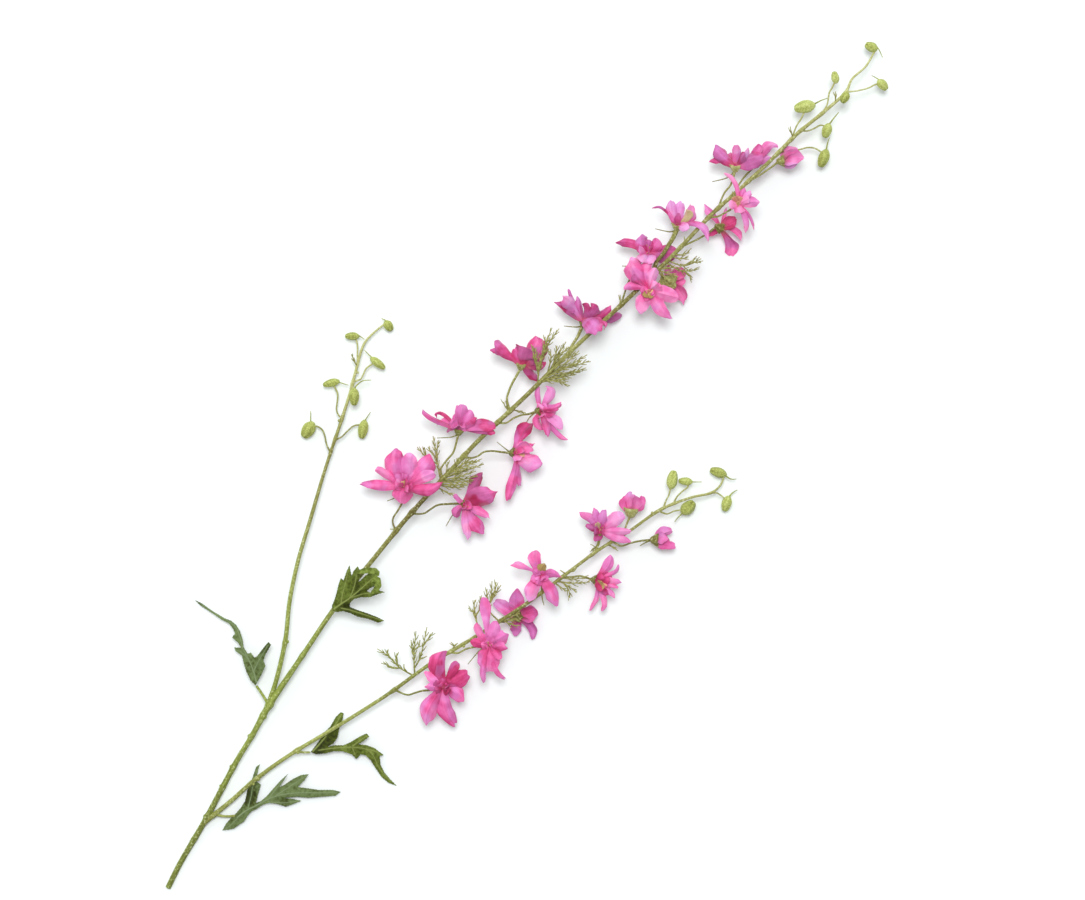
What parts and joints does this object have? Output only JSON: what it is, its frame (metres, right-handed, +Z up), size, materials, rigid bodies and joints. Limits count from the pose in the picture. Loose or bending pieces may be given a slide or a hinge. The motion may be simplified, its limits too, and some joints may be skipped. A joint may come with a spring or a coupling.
{
  "type": "delphinium flower spray",
  "caption": "Cut delphinium spray lying on a surface: a leafy main stem of pink blooms, with a bud shoot and a flowering side shoot.",
  "frame": {"origin": "on the surface that the spray lies on, in the middle of the flat under the main stem's cut heel", "axes": "+Z up from the surface, +Y along the main stem from its cut heel to its tip bud, +X towards the flowering side shoot"},
  "size_m": [0.3247, 0.884, 0.0438],
  "materials": {
    "stem": "matte olive green plant stem",
    "leaf": "matte green leaf",
    "petal": "soft pink petal",
    "shaded_petal": "soft deep pink petal, seen from behind"
  },
  "bodies": {
    "root": {"main_stem": "stem", "bud_shoot": "stem", "flower_shoot": "stem", "upper_leaf": "leaf", "side_leaf": "leaf", "middle_leaf": "leaf", "low_leaf": "leaf", "main_bloom_01": "petal", "main_bloom_02": "petal", "main_bloom_03": "petal", "main_bloom_04": "petal", "main_bloom_05": "petal", "main_bloom_06": "petal", "main_bloom_07": "shaded_petal", "main_bloom_08": "petal", "main_bloom_09": "shaded_petal", "main_bloom_10": "petal", "main_bloom_11": "petal", "main_bloom_12": "petal", "main_bloom_13": "petal", "main_bloom_14": "petal", "main_bloom_15": "petal", "main_bloom_16": "petal", "side_bloom_01": "petal", "side_bloom_02": "petal", "side_bloom_03": "shaded_petal", "side_bloom_04": "petal", "side_bloom_05": "petal", "side_bloom_06": "petal", "side_bloom_07": "petal", "side_bloom_08": "petal"}
  },
  "joints": []
}
